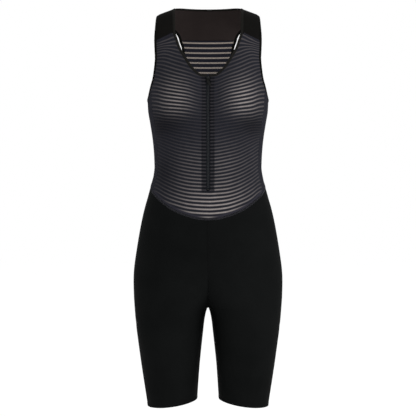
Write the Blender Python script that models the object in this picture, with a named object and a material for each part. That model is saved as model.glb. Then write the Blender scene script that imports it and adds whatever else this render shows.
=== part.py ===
"""Cycling bib shorts with a zipped mesh top, filled out as when worn.

Frame: +X is the wearer's left, -Y the front and +Z up. The origin lies midway between
the shoulders, level with the undersides of the straps. Sizes are real millimetres, and
MM turns them to metres when a mesh is made. Every piece follows one outer surface, the
cloth's face: it is given by rings at named heights, and the walls go inwards from it.
"""

from collections import namedtuple
from math import atan2, cos, exp, hypot, pi, radians, sin, sqrt

import bmesh
import bpy
from mathutils import Vector

MM = 0.001

# Walls and seams
MESH_WALL = 1.2
LYCRA_WALL = 1.5
SEAM = 0.2                 # each piece stops this far short of a seam line
BINDING_WIDTH = 4.6
BINDING_PROUD = 0.5        # how far a binding stands off the cloth, on both faces
HEM_DEPTH = 6.5
HEM_PROUD = 0.4

# The cloth's face, as rings from the shoulders down to the hems. Above the underarm the
# half width is the body's, and the armholes cut the ring open.
RING_POWER = 2.25
Ring = namedtuple("Ring", "height half_width front back")
RINGS = (
    Ring(40, 184, 62, 70), Ring(0, 178, 69, 79), Ring(-44, 170, 76, 86),
    Ring(-77, 161, 84, 92), Ring(-110, 151, 93, 96), Ring(-143, 142, 101, 98),
    Ring(-170, 135.3, 106, 98), Ring(-200, 132.4, 108, 96), Ring(-218, 131.3, 106, 93),
    Ring(-244, 127.0, 102, 89), Ring(-271, 122.8, 99, 84), Ring(-297, 119.9, 97, 81),
    Ring(-328, 118.1, 97, 79), Ring(-350, 118.8, 99, 80), Ring(-376, 124.5, 103, 85),
    Ring(-403, 131.8, 107, 92), Ring(-429, 139.2, 110, 99), Ring(-455, 145.2, 111, 106),
    Ring(-491, 151.8, 111, 116), Ring(-535, 158.8, 110, 125), Ring(-561, 162.3, 109, 128),
    Ring(-587, 163.7, 107, 126), Ring(-623, 162.8, 103, 121), Ring(-647, 161.2, 100, 116),
    Ring(-684, 158.0, 97, 108), Ring(-719, 153.6, 94, 101), Ring(-763, 147.4, 89, 93),
    Ring(-807, 140.8, 83, 85), Ring(-843, 135.3, 79, 79.5), Ring(-870, 131.3, 76, 76),
)

# The legs part at the crotch. Above it the two halves lean together over FORK_REACH.
CROTCH = -647.0
FORK_REACH = 150.0
Inseam = namedtuple("Inseam", "height gap")
INSEAM = (
    Inseam(-647, 0.0), Inseam(-648.5, 1.5), Inseam(-652, 3.1), Inseam(-658, 5.0),
    Inseam(-676, 8.4), Inseam(-702, 11.3), Inseam(-737, 15.2), Inseam(-772, 18.8),
    Inseam(-807, 21.4), Inseam(-843, 23.6), Inseam(-870, 25.0),
)
LegAxis = namedtuple("LegAxis", "height across start")   # start: turn of the first column
LEG_AXIS = (
    LegAxis(-490, 0, 0), LegAxis(-530, 5, -3), LegAxis(-570, 20, -11), LegAxis(-610, 44, -29),
    LegAxis(-650, 66, -63), LegAxis(-690, 79, -84), LegAxis(-730, 83.5, -90),
    LegAxis(-763, 83, -90), LegAxis(-807, 81, -90), LegAxis(-870, 78, -90),
)
FORK_COLUMNS = 5           # columns beside the fork that follow its edge
HEM_OUTSIDE = -861.7       # the hem is cut higher on the inside of the leg
HEM_RISE = 15.0

# Shoulders: the crest of the straps, and how the cloth rounds over it
CREST_ACROSS = 95.0
CREST_HEIGHT = 0.9
CREST_SLOPE = 0.37
CREST_LEVEL = 60.0
DROOP_START = 106.0        # past here the strap's end turns down over the shoulder
DROOP = 0.09
SHOULDER_ROUND = 45.0

# Cups: two soft rounds drawn out of the front rings
CUP_RISE = 18.0
CUP_ACROSS = 60.0
CUP_HEIGHT = -193.0
CUP_SPREAD = 48.0
CUP_ABOVE = 66.0
CUP_BELOW = 52.0

# Seam between mesh and shorts, from centre front (0 degrees) to centre back (180)
Waist = namedtuple("Waist", "turn height")
WAIST = (
    Waist(0, -453.5), Waist(13, -451), Waist(29, -441), Waist(42, -428), Waist(55, -411),
    Waist(69, -395), Waist(90, -377), Waist(112, -364), Waist(145, -353), Waist(180, -350),
)

# Columns of cloth from centre front to centre back; the plain side strips lie between
COLUMNS = 26
STRIP_FRONT = 10
STRIP_BACK = 16
SEAM_RADIUS = 130.0        # the trunk's usual half width at the side seams and armholes

# Cut edges of the panels, inside their bindings
Edge = namedtuple("Edge", "across height")
NECK_DROP = -147.6
NECKLINE = (
    Edge(17, NECK_DROP), Edge(24, -144.8), Edge(35.5, -132.5), Edge(44, -121),
    Edge(50, -110), Edge(56.3, -98.8), Edge(62.5, -87.4), Edge(69, -69.5), Edge(75, -52),
)
Arc = namedtuple("Arc", "turn height")
ARMHOLE_FRONT = (
    Arc(69.2, -173), Arc(62.7, -154), Arc(59.9, -136), Arc(58.3, -109), Arc(58.8, -91),
    Arc(59.6, -69),
)
ARMHOLE_FOOT = (
    Arc(69.2, -173), Arc(75.6, -187), Arc(82, -194), Arc(90, -196), Arc(98.1, -194.6),
    Arc(106.4, -189.5), Arc(110.8, -185),
)
ARMHOLE_BACK = (
    Arc(110.8, -185), Arc(123.9, -169), Arc(133.1, -154), Arc(142.5, -133), Arc(147.9, -112),
    Arc(149.2, -90), Arc(147.0, -68), Arc(143.1, -52),
)
YOKE_SEAM = -52.0

# Shoulder yoke: the cut edges of the straps at the crest, and the back neck
STRAP_IN = 76.5
STRAP_OUT = 109.5
NECK_BACK = 10.1           # height of the cut neck edge at centre back

# Zip
ZIP_END = -391.5
SLIT = 3.8
TAPE_REACH = 14.0
TAPE_WALL = 0.9
TAPE_BELOW = 0.6           # clear of the front panel's inside, whose faces are a little flatter
COIL_REACH = 2.1
CHAIN_PROUD = 0.3
SLIDER_TOP = -148.5
SLIDER_FOOT = -157.5
SLIDER_FACE = 2.1          # the slider's front, off the cloth's face
BAIL_RISE = 3.6
BAIL_REACH = 3.0           # half the bail's length along the chain
BAIL_WIRE = 0.8
BAIL_HALF = 0.8
PIVOT_RISE = 1.4
TAB_TILT = 5.0             # the tab lies this much closer to the cloth than the slider
TAB_LEAN = 20.0
TAB_RING = 5.2
TAB_BAR = 1.3
TAB_GRIP = 6.0
TAB_LENGTH = 16.5
RING_REACH = 4.3

# Heights of the shorts' rows below the hip
HIP_LEVEL = -560.0
SHORT_LEVELS = (
    -580, -600, -616, -628, -637, -643, CROTCH, -650, -656, -666, -682, -704, -728, -753,
    -778, -803, -826,
)

# Row counts of the panels
ROWS_BELOW_ZIP = 5
ROWS_ZIP = 18
ROWS_NECKLINE = 9
ROWS_FRONT_SIDE = 22
ROWS_BACK_SIDE = 14
ROWS_BACK_ARMHOLE = 12
ROWS_YOKE = 8
ROWS_STRAP = 6
STRAP_COLUMNS = 3
YOKE_COLUMNS = 6

Station = namedtuple("Station", "point normal")


# ---------------------------------------------------------------- tables and curves

def read(rows, column, where, key="height"):
    """A table's column at one place, on a smooth curve through its rows."""
    at = [getattr(row, key) for row in rows]
    value = [getattr(row, column) for row in rows]
    if at[0] > at[-1]:
        at.reverse()
        value.reverse()
    where = min(max(where, at[0]), at[-1])
    last = len(at) - 1
    i = 0
    while i < last - 1 and where > at[i + 1]:
        i += 1

    def slope(j):
        low, high = max(j - 1, 0), min(j + 1, last)
        return (value[high] - value[low]) / (at[high] - at[low])

    span = at[i + 1] - at[i]
    t = (where - at[i]) / span
    return ((2 * t ** 3 - 3 * t ** 2 + 1) * value[i] + (t ** 3 - 2 * t ** 2 + t) * span * slope(i)
            + (3 * t ** 2 - 2 * t ** 3) * value[i + 1] + (t ** 3 - t ** 2) * span * slope(i + 1))


def stretch(start, end, t):
    return start + (end - start) * t


def even(points, count, weight=1.0):
    """Evenly spaced places on a smooth curve through points; weight scales the first part."""
    length = [0.0]
    for a, b in zip(points, points[1:]):
        length.append(length[-1] + hypot((b[0] - a[0]) * weight, b[1] - a[1]))
    Spot = namedtuple("Spot", "along first second")
    rows = [Spot(d, p[0], p[1]) for d, p in zip(length, points)]
    places = [length[-1] * i / count for i in range(count + 1)]
    return [(read(rows, "first", s, "along"), read(rows, "second", s, "along")) for s in places]


# ---------------------------------------------------------------- the cloth's face

def ring(height):
    return tuple(read(RINGS, column, height) for column in ("half_width", "front", "back"))


def crest(across):
    """Height of the shoulder line, level where it would cross the neck."""
    far = abs(across)
    if far < CREST_LEVEL:
        far = (far * far / CREST_LEVEL + CREST_LEVEL) / 2
    droop = DROOP * max(far - DROOP_START, 0.0) ** 2
    return CREST_HEIGHT - CREST_SLOPE * (far - CREST_ACROSS) - droop


def closing(across, height):
    """How far the front and back have drawn in towards the shoulder's crest."""
    drop = (crest(across) - height) / SHOULDER_ROUND
    if drop >= 1.0:
        return 1.0
    return sqrt(max(0.0, 1.0 - (1.0 - drop) ** 2))


def cup(across, height):
    fall = CUP_ABOVE if height > CUP_HEIGHT else CUP_BELOW
    return CUP_RISE * exp(-((abs(across) - CUP_ACROSS) / CUP_SPREAD) ** 2
                          - ((height - CUP_HEIGHT) / fall) ** 2)


def reach(share):
    return max(0.0, 1.0 - min(abs(share), 1.0) ** RING_POWER) ** (1.0 / RING_POWER)


def radius(angle, width, depth):
    return ((abs(sin(angle)) / width) ** RING_POWER
            + (abs(cos(angle)) / depth) ** RING_POWER) ** (-1.0 / RING_POWER)


def face(across, height, side):
    """Point of the face by its distance across; side is -1 in front and 1 behind."""
    width, front, back = ring(height)
    share = reach(across / width)
    depth = (back if side > 0 else front) * share
    if side < 0:
        depth += cup(across, height) * share
    return Vector((across, side * depth * closing(across, height), height))


def turn_at(across, height, side):
    width, front, back = ring(height)
    depth = (back if side > 0 else front) * reach(across / width)
    return atan2(across, -side * depth)


def trunk(turn, height):
    """Point of the face by its turn about the body, from 0 in front to pi behind."""
    width, front, back = ring(height)
    far = radius(turn, width, front if cos(turn) > 0 else back)
    across, depth = far * sin(turn), far * cos(turn)
    if depth > 0:
        depth += cup(across, height) * reach(across / width)
    return Vector((across, -depth * closing(across, height), height))


def station(place, first, second, step=0.002, rise=0.5):
    """A place on the face with its outward normal."""
    along = place(first + step, second) - place(first - step, second)
    up = place(first, second + rise) - place(first, second - rise)
    return Station(place(first, second), along.cross(up).normalized())


def on_trunk(turn, height):
    return station(trunk, turn, height)


def half_short(part, height):
    """Point of one half of the shorts, part running from centre front round to centre back.

    The section is a leg's ring about its own axis. Above the crotch its inner side runs past
    the middle plane, and what is cut off there joins the two halves into one trunk."""
    width, front, back = ring(height)
    width -= SEAM
    middle, first = 0.0, 0.0
    if height < LEG_AXIS[0].height:
        middle = read(LEG_AXIS, "across", height)
        first = radians(read(LEG_AXIS, "start", height))
    if height > CROTCH:
        lean = max(1.0 - (height - CROTCH) / FORK_REACH, 0.001) ** 2
        inner = max(middle, 0.001) / lean
    else:
        lean = 1.0
        inner = middle - read(INSEAM, "gap", height)
    angle = stretch(first, pi - first, part)
    near = FORK_COLUMNS / COLUMNS
    if part < near:
        edge = -atan2(middle, front * reach(lean))
        angle = stretch(edge, stretch(first, pi - first, near), part / near)
    elif part > 1.0 - near:
        edge = pi + atan2(middle, back * reach(lean))
        angle = stretch(edge, stretch(first, pi - first, 1.0 - near), (1.0 - part) / near)
    side = width - middle if sin(angle) > 0 else inner
    far = radius(angle, side, front if cos(angle) > 0 else back)
    return Vector((SEAM + middle + far * sin(angle), -far * cos(angle), height))


# ---------------------------------------------------------------- solids

def mirrored(grid):
    """The same stations on the other side, in reversed rows so that faces turn the same way."""
    def other(vector):
        return Vector((-vector.x, vector.y, vector.z)) if vector else None
    return [[Station(other(s.point), other(s.normal)) for s in reversed(row)] for row in grid]


def material(name, colour, roughness, metallic=0.0):
    made = bpy.data.materials.new(name)
    made.use_nodes = True
    shader = made.node_tree.nodes["Principled BSDF"]
    shader.inputs["Base Color"].default_value = (*colour, 1.0)
    shader.inputs["Roughness"].default_value = roughness
    shader.inputs["Metallic"].default_value = metallic
    return made


def solid(name, points, faces, finish, origin=Vector((0, 0, 0)), sharp=50):
    """A closed mesh object from points in millimetres, placed about its origin."""
    mesh = bpy.data.meshes.new(name)
    mesh.from_pydata([(p - origin) * MM for p in points], [], faces)
    shape = bmesh.new()
    shape.from_mesh(mesh)
    bmesh.ops.recalc_face_normals(shape, faces=shape.faces)
    shape.to_mesh(mesh)
    shape.free()
    mesh.shade_smooth()
    mesh.set_sharp_from_angle(angle=radians(sharp))
    mesh.materials.append(finish)
    made = bpy.data.objects.new(name, mesh)
    made.location = origin * MM
    bpy.context.scene.collection.objects.link(made)
    return made


def sheet(grids):
    """One sheet from grids of stations that may share edges: points, normals and faces."""
    index, points, normals, faces = {}, [], [], []

    def number(s):
        key = tuple(round(value, 2) for value in s.point)
        if key not in index:
            index[key] = len(points)
            points.append(s.point)
            normals.append(s.normal)
        return index[key]

    for grid in grids:
        for low, high in zip(grid, grid[1:]):
            for k in range(len(low) - 1):
                if None in (low[k], low[k + 1], high[k], high[k + 1]):
                    continue
                ring_of = [number(s) for s in (low[k], low[k + 1], high[k + 1], high[k])]
                kept = [v for i, v in enumerate(ring_of) if v != ring_of[i - 1]]
                if len(kept) > 2:
                    faces.append(kept)
    return points, normals, faces


def face_normal(points, corners):
    total = Vector((0, 0, 0))
    for i, v in enumerate(corners):
        total += points[corners[i - 1]].cross(points[v])
    return total


def wall(name, grids, outside, inside, finish):
    """A closed wall on a sheet: its points moved along their normals, outwards and inwards."""
    points, normals, faces = sheet(grids)
    summed = [Vector((0, 0, 0)) for _ in points]
    for f in faces:
        for v in f:
            summed[v] += face_normal(points, f)
    edges = {}
    for i, f in enumerate(faces):
        for a, b in zip(f, f[1:] + f[:1]):
            edges[(a, b)] = i
    border = [(a, b) for a, b in edges if (b, a) not in edges]
    rim = {v for pair in border for v in pair}
    for v, given in enumerate(normals):
        if given is None:
            normal = summed[v].copy()
            if v in rim and abs(points[v].x) < 2 * SEAM:
                normal.x = 0.0          # a centre seam's edges stay in the middle plane
            normals[v] = normal.normalized()
    count = len(points)
    shell = [p + n * outside for p, n in zip(points, normals)]
    shell += [p + n * inside for p, n in zip(points, normals)]
    shut = [list(f) for f in faces]
    shut += [[v + count for v in reversed(f)] for f in faces]
    shut += [[b, a, a + count, b + count] for a, b in border]
    return solid(name, shell, shut, finish)


def band(name, path, towards, finish, loop=False):
    """A binding along an edge: from SEAM past the cloth to its width, proud on both faces."""
    count = len(path)
    outside, inside = BINDING_PROUD, -MESH_WALL - BINDING_PROUD
    points = []
    for i, s in enumerate(path):
        before = path[i - 1] if loop or i else path[0]
        after = path[(i + 1) % count] if loop or i < count - 1 else path[-1]
        run = (after.point - before.point).normalized()
        beside = run.cross(s.normal).normalized() * towards
        near = s.point + beside * SEAM * 1.5
        far = near + beside * BINDING_WIDTH
        points += [near + s.normal * outside, far + s.normal * outside,
                   far + s.normal * inside, near + s.normal * inside]
    faces = []
    for i in range(count if loop else count - 1):
        j = (i + 1) % count
        for k in range(4):
            m = (k + 1) % 4
            faces.append([4 * i + k, 4 * i + m, 4 * j + m, 4 * j + k])
    if not loop:
        faces += [[3, 2, 1, 0], [4 * count - 4, 4 * count - 3, 4 * count - 2, 4 * count - 1]]
    return solid(name, points, faces, finish)


def joined(*runs):
    """One path from several runs of stations, leaving out those that nearly coincide."""
    path = []
    for run in runs:
        for s in run:
            if not path or (s.point - path[-1].point).length > 1.5:
                path.append(s)
    if (path[0].point - path[-1].point).length < 1.5:
        path.pop()
    return path


# ---------------------------------------------------------------- mesh top

def waist_height(turn):
    return read(WAIST, "height", min(abs(turn) * 180 / pi, 180.0), "turn")


def strip_turn(column, side):
    """A side seam's turn, drawn back from the seam by SEAM towards the piece it belongs to."""
    return pi * column / COLUMNS + side * SEAM / SEAM_RADIUS


def arc_places(rows, count):
    """Evenly spaced (turn, height) places along an armhole edge."""
    scaled = [(radians(row.turn), row.height) for row in rows]
    return even(scaled, count, weight=SEAM_RADIUS)


def panel(inner, outer, foot, columns, settle=6):
    """Stations between an inner and an outer edge, its first row drawn to the foot curve."""
    grid = []
    for j, (near, far) in enumerate(zip(inner, outer)):
        ease = max(0.0, 1.0 - j / settle) ** 2
        row = []
        for k in range(columns + 1):
            t = k / columns
            turn, height = stretch(near[0], far[0], t), stretch(near[1], far[1], t)
            if ease:
                base = stretch(inner[0][1], outer[0][1], t)
                height += ease * (foot(stretch(inner[0][0], outer[0][0], t)) - base)
            row.append(on_trunk(turn, height))
        grid.append(row)
    return grid


def front_inner():
    """The front panel's inner edge: centre line, the slash for the zip, then the neckline."""
    foot = waist_height(0.0) + SEAM
    low = [(0.0, stretch(foot, ZIP_END - 1.5, i / ROWS_BELOW_ZIP)) for i in range(ROWS_BELOW_ZIP + 1)]
    slash = [(SLIT, stretch(ZIP_END, NECK_DROP, i / ROWS_ZIP)) for i in range(ROWS_ZIP + 1)]
    neck = even([(edge.across, edge.height) for edge in NECKLINE], ROWS_NECKLINE)
    return [(turn_at(across, height, -1), height) for across, height in low + slash + neck]


def front_outer():
    """The front panel's outer edge: up the side seam, then along the armhole."""
    seam = strip_turn(STRIP_FRONT, -1)
    count = len(front_inner()) - 1
    foot, top = waist_height(seam) + SEAM, ARMHOLE_FRONT[0].height
    side = [(seam, stretch(foot, top, i / ROWS_FRONT_SIDE)) for i in range(ROWS_FRONT_SIDE)]
    arc = arc_places(ARMHOLE_FRONT, count - ROWS_FRONT_SIDE)
    return side + [(seam, top)] + arc[1:]


def front_grid():
    return panel(front_inner(), front_outer(), lambda turn: waist_height(turn) + SEAM, STRIP_FRONT)


def side_grid():
    first, last = strip_turn(STRIP_FRONT, 1), strip_turn(STRIP_BACK, -1)
    top = arc_places(ARMHOLE_FOOT, STRIP_BACK - STRIP_FRONT)
    grid = []
    for j in range(ROWS_BACK_SIDE + 1):
        row = []
        for k in range(len(top)):
            turn = stretch(first, last, k / (len(top) - 1))
            crown = read(ARMHOLE_FOOT, "height", turn * 180 / pi, "turn")
            row.append(on_trunk(turn, stretch(waist_height(turn) + SEAM, crown, j / ROWS_BACK_SIDE)))
        grid.append(row)
    return grid


def back_grid():
    seam = strip_turn(STRIP_BACK, 1)
    foot, top = waist_height(seam) + SEAM, ARMHOLE_BACK[0].height
    side = [(seam, stretch(foot, top, i / ROWS_BACK_SIDE)) for i in range(ROWS_BACK_SIDE)]
    arc = arc_places(ARMHOLE_BACK, ROWS_BACK_ARMHOLE)
    outer = side + [(seam, top)] + arc[1:]
    count = len(outer) - 1
    foot, top = waist_height(pi) + SEAM, YOKE_SEAM - SEAM
    outer[-1] = (outer[-1][0], top)
    inner = [(pi, stretch(foot, top, i / count)) for i in range(count + 1)]
    return panel(inner, outer, lambda turn: waist_height(turn) + SEAM, COLUMNS - STRIP_BACK)


# ---------------------------------------------------------------- shoulder yoke

def strap_seam(share):
    """The slanted seam between strap and front panel, from the neck to the armhole."""
    near = (turn_at(NECKLINE[-1].across, NECKLINE[-1].height, -1), NECKLINE[-1].height)
    far = (radians(ARMHOLE_FRONT[-1].turn), ARMHOLE_FRONT[-1].height)
    turn, height = stretch(near[0], far[0], share), stretch(near[1], far[1], share)
    return trunk(turn, height).x, height


def neck_height(across):
    """Cut neck edge of the yoke, from the crest round to centre back."""
    return stretch(NECK_BACK, crest(STRAP_IN), min(abs(across) / STRAP_IN, 1.0) ** 3)


def on_strap(across):
    return abs(across) > STRAP_IN - 0.01


def yoke(across, climb):
    """Point of the yoke. Climb runs from -1 at the back seam to 0 at the neck edge or the
    crest, and on the straps to 1 at the front seam; across is measured at the crest."""
    fall = 1.0 - cos(climb * pi / 2)
    top = crest(across) if on_strap(across) else neck_height(across)
    if climb <= 0:
        foot = trunk(radians(ARMHOLE_BACK[-1].turn), YOKE_SEAM).x / STRAP_OUT
        scoop = 1.0 - (1.0 - fall) ** 2
        height = stretch(top, YOKE_SEAM + SEAM, fall)
        return face(across * stretch(1.0, foot, scoop), height, 1)
    low_across, low = strap_seam((across - STRAP_IN) / (STRAP_OUT - STRAP_IN))
    return face(stretch(across, low_across, climb), stretch(top, low + 2 * SEAM, fall), -1)


def on_yoke(across, climb, step=0.3, rise=0.02):
    """A place on the yoke with its outward normal; across is not negative."""
    behind = yoke(across, climb - rise)
    before = yoke(across, climb + rise) if on_strap(across) else yoke(across, min(climb + rise, 0))
    along = yoke(across + step, climb) - yoke(across, climb)
    return Station(yoke(across, climb), (before - behind).cross(along).normalized())


def yoke_grids():
    """Half the yoke: the back with its neck edge, and the strap over the shoulder."""
    inner = [STRAP_IN * sin(pi / 2 * i / YOKE_COLUMNS) for i in range(YOKE_COLUMNS + 1)]
    strap = [stretch(STRAP_IN, STRAP_OUT, i / STRAP_COLUMNS) for i in range(STRAP_COLUMNS + 1)]
    back = [[on_yoke(x, i / ROWS_YOKE - 1.0) for x in inner + strap[1:]]
            for i in range(ROWS_YOKE + 1)]
    front = [[on_yoke(x, i / ROWS_STRAP) for x in strap] for i in range(ROWS_STRAP + 1)]
    return back, front


# ---------------------------------------------------------------- shorts

def hem_height(part):
    across = half_short(part, HEM_OUTSIDE).x
    width, gap = ring(HEM_OUTSIDE)[0], read(INSEAM, "gap", HEM_OUTSIDE)
    return HEM_OUTSIDE + HEM_RISE * ((width - across) / (width - gap)) ** 2


def short_grid():
    """One half of the shorts from the hem up: a leg tube, then open at the centre seams."""
    grid = []
    for share in (0, 0.12, 0.27, 0.44, 0.62, 0.8, 1.0):
        row = []
        for k in range(COLUMNS + 1):
            part = k / COLUMNS
            top = waist_height(pi * part) - SEAM
            height = stretch(top, HIP_LEVEL, share)
            normal = None
            if share == 0:
                normal = on_trunk(pi * part, height).normal
            row.append(Station(half_short(part, height), normal))
        grid.append(row)
    for height in SHORT_LEVELS:
        grid.append([Station(half_short(k / COLUMNS, height), None) for k in range(COLUMNS + 1)])
    low = SHORT_LEVELS[-1]
    for rise, proud in ((14, 0), (HEM_DEPTH + 0.5, 0), (HEM_DEPTH, 1), (0, 1)):
        row = []
        for k in range(COLUMNS + 1):
            part = k / COLUMNS
            height = min(hem_height(part) + rise, low - 4)
            point = half_short(part, height)
            middle = half_short(0.25, height).lerp(half_short(0.75, height), 0.5)
            out = (point - middle) * Vector((1, 1, 0))
            row.append(Station(point + out.normalized() * HEM_PROUD * proud, None))
        grid.append(row)
    return grid[::-1]


# ---------------------------------------------------------------- zip

def between(a, b, t):
    """A place on the straight line between two stations."""
    return Station(a.point.lerp(b.point, t), a.normal.lerp(b.normal, t))


def zip_rows(front):
    """The front panel's rows along the slash."""
    return front[ROWS_BELOW_ZIP + 1:ROWS_BELOW_ZIP + ROWS_ZIP + 2]


def on_front(across, height):
    return on_trunk(turn_at(across, height, -1), height)


def tape_grid(front):
    grid = []
    for row in zip_rows(front):
        middle = on_front(SEAM, row[0].point.z)
        width = row[1].point.x - row[0].point.x
        grid.append([middle, row[0], between(row[0], row[1], (TAPE_REACH - SLIT) / width)])
    return grid


def chain_grid(front, reach_across, low, high):
    """A strip over the tapes' centre, between two heights, on the same rows as the tapes."""
    rows = [(on_front(SEAM, row[0].point.z), row[0]) for row in zip_rows(front)]

    def place(height):
        i = max(j for j, row in enumerate(rows[:-1]) if row[1].point.z <= height)
        (near, rim), (next_near, next_rim) = rows[i], rows[i + 1]
        t = (height - rim.point.z) / (next_rim.point.z - rim.point.z)
        share = reach_across / SLIT
        return between(between(near, next_near, t), between(rim, next_rim, t), share)

    heights = [low] + [row[1].point.z for row in rows if low < row[1].point.z < high] + [high]
    half = [[place(height)] for height in heights]
    return [left + right for left, right in zip(mirrored(half), half)]


def slider_frame():
    """The cloth under the slider: its point, its upward run and its outward normal."""
    here = on_front(0.0, (SLIDER_TOP + SLIDER_FOOT) / 2)
    across = Vector((1, 0, 0))
    return here.point, here.normal.cross(across).normalized(), here.normal


def placed(frame, across, up, out):
    origin, run, normal = frame
    return origin + Vector((across, 0, 0)) + run * up + normal * out


def prism(name, outline, low, high, at, finish, origin=Vector((0, 0, 0))):
    """A closed outline extruded between two levels; at turns (u, v, level) into a point."""
    count = len(outline)
    points = [at(u, v, low) for u, v in outline] + [at(u, v, high) for u, v in outline]
    faces = [list(range(count))[::-1], list(range(count, 2 * count))]
    faces += [[i, (i + 1) % count, (i + 1) % count + count, i + count] for i in range(count)]
    return solid(name, points, faces, finish, origin, sharp=30)


def slider(frame, finish):
    """Slider body with its bail, an arch that the pull tab's bar passes under."""
    half = (SLIDER_TOP - SLIDER_FOOT) / 2
    outline = [(-2.9, half), (2.9, half), (3.4, half - 1.5), (3.4, 0.8), (2.5, -half),
               (-2.5, -half), (-3.4, 0.8), (-3.4, half - 1.5)]
    body = prism("zip_slider", outline, -MESH_WALL + 0.1, SLIDER_FACE,
                 lambda u, v, level: placed(frame, u, v, level), finish)
    top, foot = SLIDER_FACE + BAIL_RISE, SLIDER_FACE - 0.4
    arch = [(-BAIL_REACH, foot), (-BAIL_REACH, top - 0.8), (-BAIL_REACH + 0.8, top),
            (BAIL_REACH - 0.8, top), (BAIL_REACH, top - 0.8), (BAIL_REACH, foot),
            (BAIL_REACH - BAIL_WIRE, foot), (BAIL_REACH - BAIL_WIRE, top - BAIL_WIRE),
            (BAIL_WIRE - BAIL_REACH, top - BAIL_WIRE), (BAIL_WIRE - BAIL_REACH, foot)]
    bail = prism("zip_bail_tool", arch, -BAIL_HALF, BAIL_HALF,
                 lambda u, v, level: placed(frame, level, u, v), finish)
    bail.hide_render = True
    bail.display_type = "WIRE"
    union = body.modifiers.new("bail", "BOOLEAN")
    union.operation = "UNION"
    union.solver = "EXACT"
    union.object = bail
    return body


def pull_tab(frame, finish):
    """Pull tab: a ring round the bail's bar, and a grip that leans to the wearer's left."""
    pivot = placed(frame, 0, 0, SLIDER_FACE + PIVOT_RISE)
    tilt = radians(TAB_TILT)
    down = frame[1] * -cos(tilt) - frame[2] * sin(tilt)
    out = frame[2] * cos(tilt) - frame[1] * sin(tilt)

    def at(u, v, level):
        return pivot + Vector((u, 0, 0)) + down * v + out * level

    half, bar = TAB_RING / 2, TAB_BAR / 2
    hole = half - 1.1
    ring_foot = RING_REACH + TAB_BAR
    lean = sin(radians(TAB_LEAN)) * (TAB_LENGTH - ring_foot)
    grip = TAB_GRIP / 2
    outer = [(-half, -bar), (half, -bar), (half, ring_foot - 0.6), (grip + 0.4, ring_foot + 1.4),
             (lean + grip, TAB_LENGTH - 1.6), (lean + grip - 1.5, TAB_LENGTH),
             (lean - grip + 1.5, TAB_LENGTH), (lean - grip, TAB_LENGTH - 1.6),
             (0.4 - grip, ring_foot + 1.4), (-half, ring_foot - 0.6)]
    inner = [(-hole, bar), (hole, bar), (hole, RING_REACH), (-hole, RING_REACH)]
    points = []
    for level in (-bar, bar):
        points += [at(u, v, level) for u, v in outer + inner]
    count, ring_count = len(outer), len(outer) + len(inner)
    a, b, c, d = range(count, ring_count)
    flat = [[0, 1, b, a], [1, 2, c, b], [2, 3, 4, 5, 6, 7, 8, 9, d, c], [9, 0, a, d]]
    faces = [list(reversed(f)) for f in flat] + [[v + ring_count for v in f] for f in flat]
    for loop_of in (list(range(count)), [d, c, b, a]):
        for i, v in enumerate(loop_of):
            w = loop_of[(i + 1) % len(loop_of)]
            faces.append([v, w, w + ring_count, v + ring_count])
    return solid("zip_pull", points, faces, finish, origin=pivot, sharp=30)


# ---------------------------------------------------------------- the whole garment

def build():
    for old in list(bpy.data.objects):
        bpy.data.objects.remove(old, do_unlink=True)
    striped = material("striped_mesh", (0.05, 0.047, 0.055), 0.75)
    plain = material("plain_mesh", (0.02, 0.02, 0.027), 0.75)
    knit = material("black_knit", (0.007, 0.008, 0.008), 0.6)
    yoke_cloth = material("yoke_knit", (0.01, 0.009, 0.008), 0.7)
    edge = material("binding", (0.008, 0.008, 0.007), 0.6)
    tape = material("zip_tape", (0.012, 0.013, 0.016), 0.8)
    hard = material("zip_plastic", (0.01, 0.011, 0.01), 0.4)

    front, side, back = front_grid(), side_grid(), back_grid()
    yoke_behind, strap = yoke_grids()
    short = short_grid()

    wall("front_mesh", [front, mirrored(front)], 0.0, -MESH_WALL, striped)
    wall("back_mesh", [back, mirrored(back)], 0.0, -MESH_WALL, striped)
    halves = [yoke_behind, strap, mirrored(yoke_behind), mirrored(strap)]
    wall("shoulder_yoke", halves, 0.0, -LYCRA_WALL, yoke_cloth)

    tapes = tape_grid(front)
    under = -MESH_WALL - TAPE_BELOW
    for suffix, hand in (("l", lambda grid: grid), ("r", mirrored)):
        wall("side_strip_" + suffix, [hand(side)], 0.0, -MESH_WALL, plain)
        wall("shorts_" + suffix, [hand(short)], 0.0, -LYCRA_WALL, knit)
        wall("zip_tape_" + suffix, [hand(tapes)], under, under - TAPE_WALL, tape)

    rim = [row[0] for row in zip_rows(front)][-1]
    start = on_front(2 * SEAM, NECK_DROP)
    neck = joined([start, rim], [row[0] for row in front[-ROWS_NECKLINE - 1:]],
                  [row[0] for row in reversed(strap)],
                  list(reversed(yoke_behind[-1][:YOKE_COLUMNS])))
    band("neck_binding", neck + mirrored([neck])[0][1:], -1, edge)
    armhole = joined([row[-1] for row in front[ROWS_FRONT_SIDE:]],
                     [row[-1] for row in reversed(strap)],
                     [row[-1] for row in reversed(yoke_behind)],
                     [row[-1] for row in reversed(back[ROWS_BACK_SIDE:])],
                     list(reversed(side[-1])))
    band("armhole_binding_l", armhole, 1, edge, loop=True)
    band("armhole_binding_r", mirrored([armhole])[0], 1, edge, loop=True)

    wall("zip_chain", [chain_grid(front, COIL_REACH, ZIP_END + 4.0, SLIDER_FOOT - 0.4)],
         CHAIN_PROUD, -MESH_WALL, hard)
    wall("zip_stop", [chain_grid(front, COIL_REACH + 0.3, ZIP_END + 1.2, ZIP_END + 3.7)],
         CHAIN_PROUD + 0.4, -MESH_WALL, hard)
    frame = slider_frame()
    slider(frame, hard)
    pull_tab(frame, hard)


build()
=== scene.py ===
# Cycling bib shorts with a zipped mesh top, for Blender 4.5: cloth, stitches, zip, light and camera.
# +X is the wearer's left, -Y the front and +Z up. Shapes are worked out in millimetres.

import math

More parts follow.
